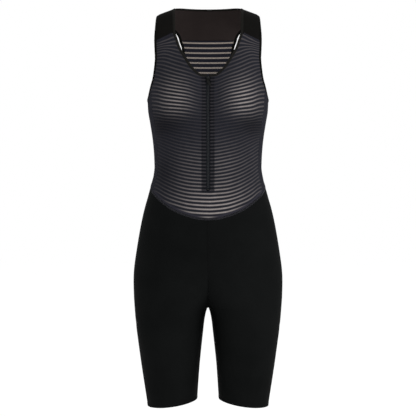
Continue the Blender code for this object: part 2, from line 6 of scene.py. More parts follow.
import bmesh
import bpy
import numpy as np
from mathutils import Matrix, Vector
from mathutils.bvhtree import BVHTree


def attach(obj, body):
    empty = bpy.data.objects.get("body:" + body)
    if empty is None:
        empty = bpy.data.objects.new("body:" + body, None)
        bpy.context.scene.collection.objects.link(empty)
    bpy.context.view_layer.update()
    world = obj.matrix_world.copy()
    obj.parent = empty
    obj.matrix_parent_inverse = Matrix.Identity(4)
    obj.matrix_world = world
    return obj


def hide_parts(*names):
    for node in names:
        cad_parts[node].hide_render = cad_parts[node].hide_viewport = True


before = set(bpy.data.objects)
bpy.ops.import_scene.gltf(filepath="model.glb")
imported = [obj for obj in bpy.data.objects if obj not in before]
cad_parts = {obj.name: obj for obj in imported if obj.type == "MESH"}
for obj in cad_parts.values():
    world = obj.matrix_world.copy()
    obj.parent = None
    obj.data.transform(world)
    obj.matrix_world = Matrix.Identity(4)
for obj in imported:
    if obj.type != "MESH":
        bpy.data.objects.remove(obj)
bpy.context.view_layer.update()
mm = 0.001
print("frame loaded")

# the form that every piece lies on, the same as the solids', in mm
ringPower = 2.25
rings = {
    "height": [40, 0, -44, -77, -110, -143, -170, -200, -218, -244, -271, -297, -328, -350, -376,
               -403, -429, -455, -491, -535, -561, -587, -623, -647, -684, -719, -763, -807, -843, -870],
    "halfWidth": [184, 178, 170, 161, 151, 142, 135.3, 132.4, 131.3, 127.0, 122.8, 119.9, 118.1,
                  118.8, 124.5, 131.8, 139.2, 145.2, 151.8, 158.8, 162.3, 163.7, 162.8, 161.2,
                  158.0, 153.6, 147.4, 140.8, 135.3, 131.3],
    "front": [62, 69, 76, 84, 93, 101, 106, 108, 106, 102, 99, 97, 97, 99, 103,
              107, 110, 111, 111, 110, 109, 107, 103, 100, 97, 94, 89, 83, 79, 76],
    "back": [70, 79, 86, 92, 96, 98, 98, 96, 93, 89, 84, 81, 79, 80, 85,
             92, 99, 106, 116, 125, 128, 126, 121, 116, 108, 101, 93, 85, 79.5, 76],
}
shoulder = {"across": 95, "height": 0.9, "slope": 0.37, "level": 60, "round": 45,
            "droopStart": 106, "droop": 0.09, "strapIn": 77, "strapOut": 109.5, "neckBack": 11.5,
            "neckCurve": 7, "scoop": 1.85}
cups = {"rise": 18, "across": 60, "height": -193, "spread": 48, "above": 66, "below": 52}
waistSeam = {
    "turn": [0, 13, 29, 42, 55, 69, 90, 112, 145, 180],
    "height": [-453.5, -451, -441, -428, -411, -395, -377, -364, -353, -350],
}
neckline = {
    "across": [15.5, 21, 34.2, 42.9, 49.5, 56.3, 62.9, 68.9, 75.4],
    "height": [-147.6, -144.8, -132.5, -121, -110, -98.8, -87.4, -69.5, -52],
}
armhole = {
    "front": {"turn": [69.2, 62.7, 59.9, 58.4, 59.1, 60.3],
              "height": [-173, -154, -136, -109, -91, -69]},
    "foot": {"turn": [69.2, 75.6, 82, 90, 98.1, 106.4, 110.8],
             "height": [-173, -187, -194, -196, -194.6, -189.5, -185]},
    "back": {"turn": [110.8, 123.9, 133.1, 142.5, 148.0, 149.5, 147.9, 144.1],
             "height": [-185, -169, -154, -133, -112, -90, -68, -52]},
}
legs = {
    "crotch": -647, "forkReach": 150, "forkColumns": 25, "hem": -861.7, "hemRise": 15, "hemDepth": 6.5,
    "axis": {"height": [-490, -530, -570, -610, -650, -690, -730, -763, -807, -870],
             "across": [0, 5, 20, 44, 66, 79, 83.5, 83, 81, 78],
             "start": [0, -3, -11, -29, -63, -84, -90, -90, -90, -90]},
    "inseam": {"height": [-647, -648.5, -652, -658, -676, -702, -737, -772, -807, -843, -870],
               "gap": [0, 1.5, 3.1, 5.0, 8.4, 11.3, 15.2, 18.8, 21.4, 23.6, 25]},
}
zipFastener = {"end": -391.5, "slit": 3.8, "tapeReach": 14, "sliderFoot": -157.5}
walls = {"mesh": 1.2, "knit": 1.5, "tape": 0.9}
seamGap = 0.05              # each piece stops this far short of a seam line
seamRadius = 130
yokeSeam = -52
columns = {"round": 130, "stripFront": 50, "stripBack": 80}
panelRows = {"belowZip": 25, "zip": 90, "neck": 45, "sideShare": 0.645, "side": 70, "backArmhole": 60,
             "settle": 30}
yokeRows = {"middle": 30, "strap": 20, "back": 45, "front": 35}
shortRows = {"waist": 44, "levels": [(-560, -630, -3.5), (-630, -662, -1.6), (-662, -826, -3.6)], "hem": 15}


def slopesOf(at, value):
    # the slope at each row of a table, from the rows beside it
    places = np.arange(len(at))
    low, high = np.maximum(places - 1, 0), np.minimum(places + 1, len(at) - 1)
    return ((value[high] - value[low]).T / (at[high] - at[low])).T


def curveAt(t, span, start, end, startSlope, endSlope):
    return ((2 * t**3 - 3 * t**2 + 1) * start + (t**3 - 2 * t**2 + t) * span * startSlope
            + (3 * t**2 - 2 * t**3) * end + (t**3 - t**2) * span * endSlope)


def lookUp(table, column, where, key="height"):
    # a table's column at any places, on a smooth curve through its rows
    at, value = np.array(table[key], float), np.array(table[column], float)
    if at[0] > at[-1]:
        at, value = at[::-1], value[::-1]
    where = np.clip(where, at[0], at[-1])
    i = np.clip(np.searchsorted(at, where) - 1, 0, len(at) - 2)
    slope = slopesOf(at, value)
    span = at[i + 1] - at[i]
    return curveAt((where - at[i]) / span, span, value[i], value[i + 1], slope[i], slope[i + 1])


def blendOf(start, end, t):
    return start + (end - start) * t


def xyz(x, y, z):
    return np.stack(np.broadcast_arrays(x, y, z), axis=-1).astype(float)


def ringAt(height):
    return [lookUp(rings, name, height) for name in ("halfWidth", "front", "back")]


def crest(across):
    # the height at which the shoulders close
    far = np.abs(across)
    level = shoulder["level"]
    far = np.where(far < level, (far * far / level + level) / 2, far)
    droop = shoulder["droop"] * np.maximum(far - shoulder["droopStart"], 0) ** 2
    return shoulder["height"] - shoulder["slope"] * (far - shoulder["across"]) - droop


def closing(across, height):
    # the depth's share that is left near the closed shoulders
    drop = np.clip((crest(across) - height) / shoulder["round"], 0, 1)
    return np.sqrt(1 - (1 - drop) ** 2)


def cup(across, height):
    # how far the two cups of the front stand out
    fall = np.where(height > cups["height"], cups["above"], cups["below"])
    return cups["rise"] * np.exp(-((np.abs(across) - cups["across"]) / cups["spread"]) ** 2
                                 - ((height - cups["height"]) / fall) ** 2)


def reach(share):
    return np.maximum(0, 1 - np.minimum(np.abs(share), 1) ** ringPower) ** (1 / ringPower)


def radius(angle, width, depth):
    return ((np.abs(np.sin(angle)) / width) ** ringPower
            + (np.abs(np.cos(angle)) / depth) ** ringPower) ** (-1 / ringPower)


def face(across, height, side):
    width, front, back = ringAt(height)
    share = reach(across / width)
    depth = (back if side > 0 else front) * share
    if side < 0:
        depth = depth + cup(across, height) * share
    return xyz(across, side * depth * closing(across, height), height)


def turnAt(across, height, side):
    width, front, back = ringAt(height)
    return np.arctan2(across, -side * (back if side > 0 else front) * reach(across / width))


def trunk(turn, height):
    width, front, back = ringAt(height)
    far = radius(turn, width, np.where(np.cos(turn) > 0, front, back))
    across, depth = far * np.sin(turn), far * np.cos(turn)
    depth = np.where(depth > 0, depth + cup(across, height) * reach(across / width), depth)
    return xyz(across, -depth * closing(across, height), height)


def halfShort(part, height):
    # one half of the shorts: part runs from centre front (0) round the outside to centre back (1)
    width, front, back = ringAt(height)
    width = width - seamGap
    above = height >= legs["axis"]["height"][0]
    middle = np.where(above, 0, lookUp(legs["axis"], "across", height))
    first = np.where(above, 0, np.radians(lookUp(legs["axis"], "start", height)))
    leaning = np.maximum(1 - (height - legs["crotch"]) / legs["forkReach"], 0.001) ** 2
    lean = np.where(height > legs["crotch"], leaning, 1)
    inner = np.where(height > legs["crotch"], np.maximum(middle, 0.001) / lean,
                     middle - lookUp(legs["inseam"], "gap", height))
    near = legs["forkColumns"] / columns["round"]
    frontEdge = -np.arctan2(middle, front * reach(lean))
    backEdge = np.pi + np.arctan2(middle, back * reach(lean))
    angle = blendOf(first, np.pi - first, part)
    lowTurn, highTurn = blendOf(first, np.pi - first, near), blendOf(first, np.pi - first, 1 - near)
    angle = np.where(part < near, blendOf(frontEdge, lowTurn, part / near), angle)
    angle = np.where(part > 1 - near, blendOf(backEdge, highTurn, (1 - part) / near), angle)
    side = np.where(np.sin(angle) > 0, width - middle, inner)
    far = radius(angle, side, np.where(np.cos(angle) > 0, front, back))
    return xyz(seamGap + middle + far * np.sin(angle), -far * np.cos(angle), height)


def waistHeight(turn):
    return lookUp(waistSeam, "height", np.degrees(np.abs(turn)), "turn")


def spaced(first, second, count, weight=1.0):
    # evenly spaced places on a smooth curve through points
    first, second = np.array(first, float), np.array(second, float)
    steps = np.hypot(np.diff(first) * weight, np.diff(second))
    along = np.concatenate([[0], np.cumsum(steps)])
    table = {"along": along, "first": first, "second": second}
    places = np.linspace(0, along[-1], count + 1)
    return lookUp(table, "first", places, "along"), lookUp(table, "second", places, "along")


def armholeEdge(part, count):
    return spaced(np.radians(armhole[part]["turn"]), armhole[part]["height"], count, seamRadius)


def sideTurn(column, side):
    return math.pi * column / columns["round"] + side * seamGap / seamRadius


def panelGrid(inner, outer, count):
    # rows between an inner and an outer edge; the first rows are drawn to the waist seam
    t = np.linspace(0, 1, count + 1)[None, :]
    turn = blendOf(inner[0][:, None], outer[0][:, None], t)
    height = blendOf(inner[1][:, None], outer[1][:, None], t)
    ease = np.maximum(1 - np.arange(len(inner[0])) / panelRows["settle"], 0)[:, None] ** 2
    base = blendOf(inner[1][0], outer[1][0], t)
    foot = waistHeight(blendOf(inner[0][0], outer[0][0], t)) + seamGap
    return trunk(turn, height + ease * (foot - base))


def frontEdges():
    drop = neckline["height"][0]
    low = np.linspace(waistHeight(0.0) + seamGap, zipFastener["end"] - 1.5, panelRows["belowZip"] + 1)
    slash = np.linspace(zipFastener["end"], drop, panelRows["zip"] + 1)
    ledge = np.linspace(zipFastener["slit"], neckline["across"][0], 5)[1:-1]
    neck = spaced(neckline["across"], neckline["height"], panelRows["neck"])
    across = np.concatenate([0 * low, 0 * slash + zipFastener["slit"], ledge, neck[0]])
    height = np.concatenate([low, slash, 0 * ledge + drop, neck[1]])
    inner = (turnAt(across, height, -1), height)
    rows = len(height)
    sideRows = round(rows * panelRows["sideShare"])
    seam = sideTurn(columns["stripFront"], -1)
    sideHeights = np.linspace(waistHeight(seam) + seamGap, armhole["front"]["height"][0], sideRows + 1)
    arc = armholeEdge("front", rows - 1 - sideRows)
    outer = (np.concatenate([0 * sideHeights + seam, arc[0][1:]]),
             np.concatenate([sideHeights, arc[1][1:]]))
    return inner, outer, sideRows, len(neck[0])


def frontGrid():
    inner, outer = frontEdges()[:2]
    return panelGrid(inner, outer, columns["stripFront"])


def sideGrid():
    turn = np.linspace(sideTurn(columns["stripFront"], 1), sideTurn(columns["stripBack"], -1),
                       columns["stripBack"] - columns["stripFront"] + 1)
    crown = lookUp(armhole["foot"], "height", np.degrees(turn), "turn")
    t = np.linspace(0, 1, panelRows["side"] + 1)[:, None]
    return trunk(turn[None, :], blendOf((waistHeight(turn) + seamGap)[None, :], crown[None, :], t))


def backGrid():
    seam = sideTurn(columns["stripBack"], 1)
    heights = np.linspace(waistHeight(seam) + seamGap, armhole["back"]["height"][0],
                          panelRows["side"] + 1)
    arc = armholeEdge("back", panelRows["backArmhole"])
    outer = (np.concatenate([0 * heights + seam, arc[0][1:]]), np.concatenate([heights, arc[1][1:]]))
    outer[1][-1] -= seamGap
    inner = (np.full(len(outer[0]), np.pi),
             np.linspace(waistHeight(np.pi) + seamGap, yokeSeam - seamGap, len(outer[0])))
    grid = panelGrid(inner, outer, columns["round"] - columns["stripBack"])
    return grid[:, ::-1]                # columns run towards +X turned from the front, as the others do


def strapSeam(share):
    near = (turnAt(neckline["across"][-1], neckline["height"][-1], -1), neckline["height"][-1])
    far = (math.radians(armhole["front"]["turn"][-1]), armhole["front"]["height"][-1])
    turn, height = blendOf(near[0], far[0], share), blendOf(near[1], far[1], share)
    return trunk(turn, height)[..., 0], height


def yokeFoot():
    # half the width of the yoke's back seam
    return trunk(math.radians(armhole["back"]["turn"][-1]), yokeSeam)[..., 0]


def yoke(across, climb):
    # climb runs from -1 at the back seam to 0 at the neck edge or crest, and on the straps to 1
    fall = 1 - np.cos(climb * np.pi / 2)
    onStrap = np.abs(across) > shoulder["strapIn"] - 0.01
    neckShare = np.minimum(np.abs(across) / shoulder["strapIn"], 1) ** shoulder["neckCurve"]
    neck = blendOf(shoulder["neckBack"], crest(shoulder["strapIn"]), neckShare)
    top = np.where(onStrap, crest(across), neck)
    foot = yokeFoot() / shoulder["strapOut"]
    scoop = 1 - (1 - fall) ** shoulder["scoop"]
    behind = face(across * blendOf(1, foot, scoop), blendOf(top, yokeSeam + seamGap, fall), 1)
    share = (np.abs(across) - shoulder["strapIn"]) / (shoulder["strapOut"] - shoulder["strapIn"])
    lowAcross, low = strapSeam(np.maximum(share, 0))
    before = face(blendOf(across, lowAcross, climb), blendOf(top, low + 2 * seamGap, fall), -1)
    return np.where((climb <= 0)[..., None], behind, before)


def yokeGrids():
    inner = shoulder["strapIn"] * np.sin(np.linspace(0, np.pi / 2, yokeRows["middle"] + 1))
    strap = np.linspace(shoulder["strapIn"], shoulder["strapOut"], yokeRows["strap"] + 1)
    climb = np.linspace(-1, 0, yokeRows["back"] + 1)[:, None]
    back = yoke(np.concatenate([inner, strap[1:]])[None, :], climb)
    front = yoke(strap[None, :], np.linspace(0, 1, yokeRows["front"] + 1)[:, None])
    return back[:, ::-1], front[::-1]


def hemLevel(across):
    # the hem rises from the outside of the leg to the inside
    width = lookUp(rings, "halfWidth", legs["hem"])
    gap = lookUp(legs["inseam"], "gap", legs["hem"])
    return legs["hem"] + legs["hemRise"] * np.clip((width - across) / (width - gap), 0, 1) ** 2


def hemHeight(part):
    return hemLevel(halfShort(part, np.full(np.shape(part), legs["hem"]))[..., 0])


def shortGrid():
    part = np.linspace(0, 1, columns["round"] + 1)
    hip, low = shortRows["levels"][0][0], shortRows["levels"][-1][1]
    top = waistHeight(np.pi * part) - seamGap
    rise = np.linspace(0, 1, shortRows["waist"])[:-1, None]
    waistRows = halfShort(part[None, :], blendOf(top[None, :], hip, rise))
    levels = np.concatenate([np.arange(*run) for run in shortRows["levels"]])
    legRows = halfShort(part[None, :], levels[:, None])
    hem = np.linspace(0, 1, shortRows["hem"])[:, None]
    hemRows = halfShort(part[None, :], blendOf(low, hemHeight(part)[None, :], hem))
    return np.concatenate([waistRows, legRows, hemRows])[::-1]


def mirrored(grid):
    return grid[:, ::-1] * np.array([-1, 1, 1])


# soft troughs and ridges: (across, height) of both ends, half width and rise, in mm
folds = {
    "front": [
        ((-46, -600), (0, -636), 9, 0.9),
        ((-52, -588), (-4, -622), 8, -0.6),
        ((6, -626), (34, -604), 9, -1.1),
        ((8, -640), (44, -630), 8, 0.7),
        ((-74, -662), (-30, -650), 9, -0.6),
        ((70, -664), (28, -652), 9, -0.7),
        ((-128, -366), (-84, -352), 7, -0.8),
        ((130, -372), (92, -360), 7, -0.7),
        ((-130, -345), (-96, -336), 6, -0.5),
        ((128, -342), (98, -330), 7, -0.6),
        ((-118, -182), (-92, -196), 8, -0.9),
        ((118, -186), (94, -202), 8, -0.8),
    ],
    "back": [
        ((-64, -636), (-8, -662), 10, -1.3),
        ((66, -640), (10, -664), 10, -1.2),
        ((-96, -668), (-40, -684), 9, -0.7),
        ((90, -676), (38, -690), 9, -0.7),
        ((-60, -372), (10, -368), 8, -0.9),
        ((62, -386), (-6, -384), 8, -0.7),
        ((-104, -176), (-66, -214), 10, -1.0),
        ((102, -172), (68, -208), 10, -0.9),
    ],
    "both": [
        ((-162, -680), (-120, -683), 7, -0.9),
        ((162, -686), (122, -684), 7, -0.9),
    ],
}
foldShape = {"bow": 0.08, "blend": 30, "uneven": 0.16}


def creaseDepth(points):
    # how far the cloth stands out of its form, in mm, at points in mm
    depth = np.zeros(len(points))
    flat = points[:, [0, 2]]
    backness = points[:, 1] / foldShape["blend"]
    shares = {"front": np.clip(0.5 - backness, 0, 1), "back": np.clip(0.5 + backness, 0, 1), "both": 1.0}
    for where, rows in folds.items():
        for start, end, wide, rise in rows:
            run = np.subtract(end, start, dtype=float)
            t = np.clip((flat - start) @ run / (run @ run), 0, 1)
            bow = foldShape["bow"] * np.sin(np.pi * t)[:, None] * np.array([-run[1], run[0]])
            away = np.linalg.norm(flat - (start + t[:, None] * run) - bow, axis=1)
            fading = np.sin(np.pi * (0.12 + 0.76 * t)) ** 1.5         # it runs out at both ends
            depth += shares[where] * rise * np.exp(-(away / wide) ** 2) * fading
    uneven = (np.sin(points[:, 0] / 23 + 1.3 * np.sin(points[:, 2] / 61)) * np.sin(points[:, 2] / 37)
              + 0.6 * np.sin(points[:, 1] / 19 + points[:, 2] / 47))
    return depth + foldShape["uneven"] * uneven


# how far the mesh's rows rise from the zip towards the sides, in mm, by height
rowLift = {
    "height": [-60, -72, -90, -112, -134, -145, -177, -198, -220, -237, -256, -273, -294, -326, -358,
               -391, -423, -460],
    "at43": [11, 11, 10.5, 10.3, 9.7, 8.9, 8.5, 7.3, 5.5, 3.3, 4.6, 5, 4.3, 4.5, 3.4, 2.4, 3.1, 3],
    "at68": [23, 21, 19, 19.3, 17.6, 16.1, 13.7, 11.3, 8.5, 7.3, 9, 10.6, 10.8, 11, 10.3, 9.5, 10.3, 10],
    "at94": [13, 15, 26.5, 29, 26.5, 24.5, 19.6, 15.8, 11.6, 11, 17.7, 20.4, 22.5, 23.4, 22.4, 22.2, 21, 20],
    "at113": [2, 6.4, 21.4, 31, 32.9, 30.8, 25.1, 21, 16.1, 16.4, 19, 26, 33.5, 33.6, 34.2, 34.4, 36.3, 36],
}
# number of the mesh's stripes from the top, by height at the zip
rowCount = {
    "height": [-40, -70, -110, -149, -185, -213, -241, -273, -305, -332, -358.5, -390.6, -417, -444, -500],
    "count": [-4.66, -0.76, 4.02, 8.75, 13.8, 17.87, 22.09, 26.6, 31.09, 34.75, 38.32, 42.54, 45.77,
              48.96, 55.46],
}
rowShape = {"knots": [0.0, 17, 43, 68, 94, 113, 150], "zipDip": 0.6, "beyond": 0.9, "leftMore": 0.12}
# where the front is stretched over the form and its sheer rows open, with painted light over the bust and
# belly, reaching up and down
stretchedAndLitSpots = {
    "across": [-70, 77, 12, -34, 34, 104, -86, 86],
    "height": [-199, -198, -429, -342, -340, -330, -58, -62],
    "wide": [31, 34, 80, 38, 42, 34, 40, 42],
    "up": [48, 48, 42, 46, 48, 70, 40, 40],
    "down": [32, 33, 60, 60, 60, 90, 60, 60],
    "amount": [0.7, 0.72, 0.8, 0.2, 0.26, 0.06, 0.1, 0.12],
}
# painted shade: darker under the bust, and at one side of the waist
paintedShadeSpots = {"across": [-100, 100, -98], "height": [-250, -250, -352], "wide": [42, 42, 26],
              "up": [26, 26, 34], "down": [26, 26, 34], "amount": [0.5, 0.5, 0.34]}
# the back, by its distance from the middle
backSpots = {"across": [46, 0], "height": [-150, -350], "wide": [34, 80],
             "up": [60, 50], "down": [60, 50], "amount": [0.4, 0.35]}
leastOpen = 0.02


def stripeNumber(points):
    # counts the front's stripes: rows dip to the zip and bow over the bust
    across, height = np.abs(points[:, 0]), points[:, 2]
    knots = np.array(rowShape["knots"])
    lifts = [lookUp(rowLift, name, height) for name in ("at43", "at68", "at94", "at113")]
    beyond = lifts[-1] + rowShape["beyond"] * (lifts[-1] - lifts[-2])
    lifts = np.array([0 * height - rowShape["zipDip"], 0 * height] + lifts + [beyond])
    slopes = slopesOf(knots, lifts)
    slopes[0] = 0
    i = np.clip(np.searchsorted(knots, across) - 1, 0, len(knots) - 2)
    each, span = np.arange(len(across)), knots[i + 1] - knots[i]
    t = np.clip((across - knots[i]) / span, 0, 1)
    lift = curveAt(t, span, lifts[i, each], lifts[i + 1, each], slopes[i, each], slopes[i + 1, each])
    return lookUp(rowCount, "count", height - lift * (1 + rowShape["leftMore"] * np.sign(points[:, 0])))


def spotsAt(points, spots, downPower=2):
    # soft spots laid over each other
    total = np.zeros(len(points))
    for across, height, wide, up, down, amount in zip(*spots.values()):
        above = points[:, 2] - height
        tall = np.where(above > 0, np.abs(above / up) ** 2, np.abs(above / down) ** downPower)
        total += amount * np.exp(-((points[:, 0] - across) / wide) ** 2 - tall)
    return total


def hexColour(code):
    # sRGB hex to linear
    parts = [int(code[i:i + 2], 16) / 255 for i in (1, 3, 5)]
    return [c / 12.92 if c <= 0.04045 else ((c + 0.055) / 1.055) ** 2.4 for c in parts] + [1.0]


def addNode(tree, kind, inputs=None, **settings):
    # one node with its settings; an input is a value or another node's socket
    node = tree.nodes.new(kind)
    for key, value in settings.items():
        setattr(node, key, value)
    for socket, value in (inputs or {}).items():
        if isinstance(value, bpy.types.NodeSocket):
            tree.links.new(value, node.inputs[socket])
        else:
            node.inputs[socket].default_value = value
    return node


def startMaterial(name, roughness, specular, sheen=0.0, sheenTint=None):
    made = bpy.data.materials.new(name)
    made.use_nodes = True
    tree = made.node_tree
    shader = tree.nodes["Principled BSDF"]
    for socket, value in (("Roughness", roughness), ("Specular IOR Level", specular),
                          ("Sheen Weight", sheen), ("Sheen Roughness", 0.5)):
        shader.inputs[socket].default_value = value
    if sheenTint:
        shader.inputs["Sheen Tint"].default_value = hexColour(sheenTint)
    place = addNode(tree, "ShaderNodeTexCoord").outputs["Object"]
    return made, tree, shader, place


def mixColours(tree, factor, first, second):
    first, second = [hexColour(c) if isinstance(c, str) else c for c in (first, second)]
    return addNode(tree, "ShaderNodeMix", {0: factor, 6: first, 7: second}, data_type="RGBA").outputs[2]


def mathOf(tree, operation, *values):
    return addNode(tree, "ShaderNodeMath", dict(enumerate(values)), operation=operation).outputs[0]


def soften(tree, value, low, high, first=0.0, last=1.0):
    return addNode(tree, "ShaderNodeMapRange", {"Value": value, "From Min": low, "From Max": high,
                                                "To Min": first, "To Max": last},
                   interpolation_type="SMOOTHSTEP").outputs[0]


def noiseOf(tree, place, scale, detail):
    noise = addNode(tree, "ShaderNodeTexNoise", {"Vector": place, "Scale": scale, "Detail": detail})
    return noise.outputs["Fac"]


def knitBump(tree, shader, place, pitch, strength, distance):
    # loops of the knit: two crossed waves, at a real pitch in mm
    waves = [addNode(tree, "ShaderNodeTexWave", {"Vector": place, "Scale": 0.5 / (pitch * mm) / math.pi,
                                                "Distortion": 0.6, "Detail": 1.0},
                     bands_direction=axis).outputs["Fac"] for axis in ("X", "Z")]
    bump = addNode(tree, "ShaderNodeBump", {"Height": mathOf(tree, "MULTIPLY", waves[0], waves[1]),
                                            "Strength": strength, "Distance": distance})
    tree.links.new(bump.outputs[0], shader.inputs["Normal"])


# the net over the zip tape, in its plain rows, and its painted shade under the bust and at one side of the
# waist
meshTones = {"backed": "#08090c", "plain": "#25242b", "paintedShade": "#020203"}


def makeStripedMesh(name, sheer, dense, duty, edge=0.09):
    # warp-knit polyamide mesh: dense navy rows between sheer rows, matt with a dusty look
    made, tree, shader, place = startMaterial(name, 0.85, 0.05, sheen=0.01, sheenTint="#8a8890")
    count, wide, plain, backed, paintedShade = [
        addNode(tree, "ShaderNodeAttribute", attribute_name=label).outputs["Fac"]
        for label in ("stripe", "open", "plain", "backed", "paintedShade")]
    away = mathOf(tree, "ABSOLUTE", mathOf(tree, "SUBTRACT", mathOf(tree, "FRACT", count), 0.5))
    inRow = soften(tree, away, duty / 2 + edge, duty / 2 - edge)
    inRow = mathOf(tree, "MULTIPLY", inRow, mathOf(tree, "SUBTRACT", 1.0, plain))
    patches = noiseOf(tree, place, 90.0, 3.0)                # about 11 mm across
    wide = mathOf(tree, "MULTIPLY", wide, soften(tree, patches, 0.2, 0.8, 0.85, 1.1))
    thin = mixColours(tree, wide, *sheer)
    thick = mixColours(tree, patches, *dense)
    thick = mixColours(tree, backed, thick, meshTones["backed"])
    thick = mixColours(tree, plain, thick, meshTones["plain"])
    rows = mixColours(tree, inRow, thick, thin)
    # painted shade: the rows are darkened under the bust and at one side of the waist
    colour = mixColours(tree, paintedShade, rows, meshTones["paintedShade"])
    tree.links.new(colour, shader.inputs["Base Color"])
    knitBump(tree, shader, place, 1.1, 0.35, 0.0003)
    return made


def makeKnit(name, dark, light, roughness, specular, pitch, sheen):
    # knitted, woven or spun yarn: fine loops or threads with a low even sheen
    made, tree, shader, place = startMaterial(name, roughness, specular, sheen, "#7d8488")
    broad = noiseOf(tree, place, 14.0, 4.0)                  # shades about 70 mm across
    grain = soften(tree, noiseOf(tree, place, 900.0, 1.0), 0.3, 0.7, 0.7, 1.2)       # and 1.1 mm
    share = mathOf(tree, "MULTIPLY", broad, grain)
    tree.links.new(mixColours(tree, share, dark, light), shader.inputs["Base Color"])
    knitBump(tree, shader, place, pitch, 0.3, 0.0002)
    return made


def makeHard(name, dark, light, roughness, specular):
    # moulded or painted hard piece with faint handling marks, 1.4 mm apart
    made, tree, shader, place = startMaterial(name, roughness, specular)
    marks = noiseOf(tree, place, 700.0, 4.0)
    tree.links.new(mixColours(tree, marks, dark, light), shader.inputs["Base Color"])
    rough = soften(tree, marks, 0.3, 0.7, roughness - 0.08, roughness + 0.1)
    tree.links.new(rough, shader.inputs["Roughness"])
    return made


navyRows = ("#16171c", "#1d1e25")
# name, dark and light colour, roughness, specular level, then a knit's loop pitch in mm and its sheen
finishes = {
    # net of fine polyamide: dusty and matt, taupe shows in its sheer rows where it is stretched, brightened
    # by painted light over the bust and belly
    "frontMesh": makeStripedMesh("warpKnitMeshNavyTaupe", ("#212025", "#8a8380"), navyRows, 0.38),
    # the same net seen inside the neck: narrow bright rows on navy
    "backMesh": makeStripedMesh("warpKnitMeshBack", ("#938981", "#9c9289"), ("#191a21", "#20212a"), 0.27),
    "backOutside": makeStripedMesh("warpKnitMeshBackOutside", ("#26252a", "#8a8380"), navyRows, 0.36),
    # net without sheer rows: an even navy grey
    "sideMesh": makeKnit("warpKnitMeshPlain", "#16161b", "#232329", 0.85, 0.02, 1.1, 0.005),
    # smooth dense stretch knit: deep black that hardly catches the light
    "shortsKnit": makeKnit("polyamideElastaneKnit", "#0a0b0b", "#121313", 0.7, 0.008, 0.9, 0.0),
    "yokeKnit": makeKnit("elastaneKnitYoke", "#0b0b0a", "#141312", 0.75, 0.01, 0.9, 0.0),
    # its brushed inside: warmer and lighter, without any gloss
    "yokeInside": makeKnit("elastaneKnitBrushedInside", "#241f1e", "#352e2d", 0.9, 0.02, 0.9, 0.005),
    # elastic tape folded over the edge: a dull black line, and round the neck the same tape with painted
    # light, a shade lighter
    "bindingKnit": makeKnit("foldedElasticBinding", "#080807", "#11110f", 0.7, 0.015, 0.7, 0.0),
    "neckKnit": makeKnit("foldedElasticBindingPaintedLight", "#121211", "#1e1d1b", 0.7, 0.015, 0.7, 0.0),
    # tight plain weave: flat and a little grey
    "zipTape": makeKnit("wovenPolyesterTape", "#17191d", "#22252a", 0.8, 0.06, 0.6, 0.01),
    # extruded nylon: smooth, with small soft highlights
    "coil": makeHard("nylonCoil", "#1a1b1d", "#26282b", 0.5, 0.2),
    # die-cast zinc under black paint: low even gloss
    "slider": makeHard("paintedZincSlider", "#060706", "#101110", 0.45, 0.2),
    # moulded rubber: dull black
    "tab": makeHard("mouldedRubberTab", "#050505", "#0e0e0e", 0.6, 0.12),
    # spun polyester: a dull thread, lost on the black cloth and a faint line at the waist
    "thread": makeKnit("polyesterThread", "#090909", "#121213", 0.7, 0.03, 0.4, 0.005),
    "threadNavy": makeKnit("polyesterThreadNavy", "#1c1c23", "#2b2b33", 0.6, 0.1, 0.4, 0.02),
    "threadGrey": makeKnit("polyesterThreadGrey", "#2e2d33", "#424147", 0.6, 0.1, 0.4, 0.02),
}
print("finishes made")


def inScene(name, data):
    made = bpy.data.objects.new(name, data)
    bpy.context.scene.collection.objects.link(made)
    return made


def pieceOf(name, shape, *materials):
    # a smooth object from a bmesh
    mesh = bpy.data.meshes.new(name)
    shape.to_mesh(mesh)
    shape.free()
    mesh.shade_smooth()
    for material in materials:
        mesh.materials.append(material)
    return inScene(name, mesh)


clothFaces = []             # the shells' outer faces, for the stitches to lie on


def shellOf(name, grids, wall, finish, attributes=None, relief=None, inside=None):
    # one shell from grids of points in mm that may share edges; its faces look outwards
    shape = bmesh.new()
    for grid in grids:
        rows, across = grid.shape[:2]
        verts = [shape.verts.new(p * mm) for p in grid.reshape(-1, 3)]
        for r in range(rows - 1):
            for c in range(across - 1):
                corner = r * across + c
                shape.faces.new([verts[corner], verts[corner + 1],
                                 verts[corner + across + 1], verts[corner + across]])
    bmesh.ops.remove_doubles(shape, verts=shape.verts, dist=0.03 * mm)
    bmesh.ops.dissolve_degenerate(shape, edges=shape.edges, dist=0.01 * mm)
    shape.normal_update()
    points = np.array([v.co[:] for v in shape.verts]) / mm
    normals = np.array([v.normal[:] for v in shape.verts])
    out = creaseDepth(points) + (relief(points) if relief else 0)
    for v, p in zip(shape.verts, points + normals * out[:, None]):
        v.co = Vector(p * mm)
    piece = pieceOf(name, shape, finish)
    mesh = piece.data
    for label, values in (attributes(points) if attributes else {}).items():
        layer = mesh.attributes.new(label, "FLOAT", "POINT")
        layer.data.foreach_set("value", np.asarray(values, np.float32))
    clothFaces.append(([v.co[:] for v in mesh.vertices], [tuple(p.vertices) for p in mesh.polygons]))
    thick = piece.modifiers.new("wall", "SOLIDIFY")
    thick.thickness = wall * mm
    thick.offset = -1
    if inside:
        mesh.materials.append(inside)
        thick.material_offset = 1
    return piece


# plain rows above the waist seam, lower at the centre front, and the shade over the zip tape
waistBand = {"front": 6.5, "centreLower": 3.0, "centreReach": 20, "back": 4.5, "soft": 1.5}
tapeShade = {"below": 4, "soft": 1.5, "closed": 0.97, "least": 0.035, "dark": 0.75}
backRows = {"top": -57.6, "pitch": 11.05, "bow": 0.25, "open": 0.35}
hemFold = {"proud": 0.45, "dip": 0.4, "dipWide": 1.4, "dipAbove": 0.6}
seamDraw = {"deep": 0.45, "wide": 2.6}


def aboveWaist(points):
    return points[:, 2] - waistHeight(np.arctan2(points[:, 0], -points[:, 1]))


